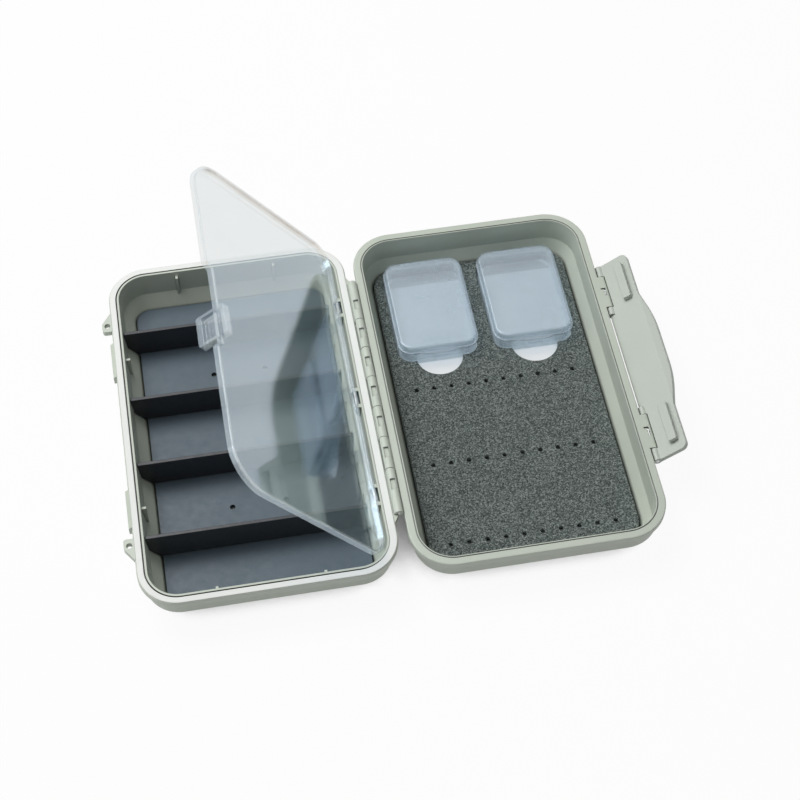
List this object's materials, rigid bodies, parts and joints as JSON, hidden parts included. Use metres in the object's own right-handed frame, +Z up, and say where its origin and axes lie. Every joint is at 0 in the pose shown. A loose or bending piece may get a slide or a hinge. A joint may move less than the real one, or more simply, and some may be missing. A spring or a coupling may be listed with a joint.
{
  "type": "waterproof fly box",
  "caption": "Waterproof fly box with a hinged lid, snap latch, rim seal, divided base under a clear inner cover, foam-lined lid and lift-out cases.",
  "frame": {"origin": "centre of the base's flat underside, with the box lying open", "axes": "+X from the base half to the lid half, +Y along the hinge towards the back, +Z up"},
  "size_m": [0.2118, 0.156, 0.0854],
  "materials": {
    "shell_plastic": "satin sage grey moulded plastic",
    "latch_plastic": "satin sage grey moulded plastic",
    "seal": "soft white silicone",
    "floor_plate": "slate satin plastic",
    "divider": "black satin plastic",
    "steel_pin": "drawn wire",
    "clear_cover": "clear gloss plastic",
    "frosted_case": "frosted plastic",
    "foam": "fine speckled closed-cell foam",
    "white_sheet": "white sheet"
  },
  "bodies": {
    "base": {"base_shell": "shell_plastic", "rim_gasket": "seal", "base_floor_plate": "floor_plate", "divider_1": "divider", "divider_2": "divider", "divider_3": "divider", "divider_4": "divider", "main_hinge_pin": "steel_pin", "cover_hinge_pin_1": "steel_pin", "cover_hinge_pin_2": "steel_pin", "cover_hinge_pin_3": "steel_pin"},
    "lid": {"lid_shell": "shell_plastic", "foam_backing_sheet": "white_sheet", "foam_liner": "foam", "latch_pin_rear": "steel_pin", "latch_pin_front": "steel_pin"},
    "latch": {"latch": "latch_plastic"},
    "inner_cover": {"inner_cover": "clear_cover"},
    "mini_case_left": {"mini_case_left_tray": "frosted_case", "mini_case_left_hinge_pin": "steel_pin"},
    "mini_case_left_cover": {"mini_case_left_lid": "frosted_case"},
    "mini_case_right": {"mini_case_right_tray": "frosted_case", "mini_case_right_hinge_pin": "steel_pin"},
    "mini_case_right_cover": {"mini_case_right_lid": "frosted_case"}
  },
  "joints": [
    {"name": "lid_hinge", "type": "hinge", "parent": "base", "child": "lid", "pos_m": [0.0488, 0, 0.0185], "axis": [0, -1, 0], "range_deg": [0, 180]},
    {"name": "latch_hinge", "type": "hinge", "parent": "lid", "child": "latch", "pos_m": [0.1473, 0, 0.0169], "axis": [0, -1, 0], "range_deg": [-40, 54]},
    {"name": "cover_hinge", "type": "hinge", "parent": "base", "child": "inner_cover", "pos_m": [0.0415, 0, 0.0172], "axis": [0, -1, 0], "range_deg": [-45, 53.1]},
    {"name": "mini_case_left_lift", "type": "slide", "parent": "lid", "child": "mini_case_left", "axis": [0, 0, -1], "range_m": [-0.02, 0]},
    {"name": "mini_case_left_hinge", "type": "hinge", "parent": "mini_case_left", "child": "mini_case_left_cover", "pos_m": [0.07875, 0.0686, 0.0087], "axis": [1, 0, 0], "range_deg": [-95, 0]},
    {"name": "mini_case_right_lift", "type": "slide", "parent": "lid", "child": "mini_case_right", "axis": [0, 0, -1], "range_m": [-0.02, 0]},
    {"name": "mini_case_right_hinge", "type": "hinge", "parent": "mini_case_right", "child": "mini_case_right_cover", "pos_m": [0.11705, 0.0686, 0.0087], "axis": [1, 0, 0], "range_deg": [-95, 0]}
  ],
  "couplings": [
    {"joint": "cover_hinge", "follows": "lid_hinge", "ratio": 0.295}
  ]
}
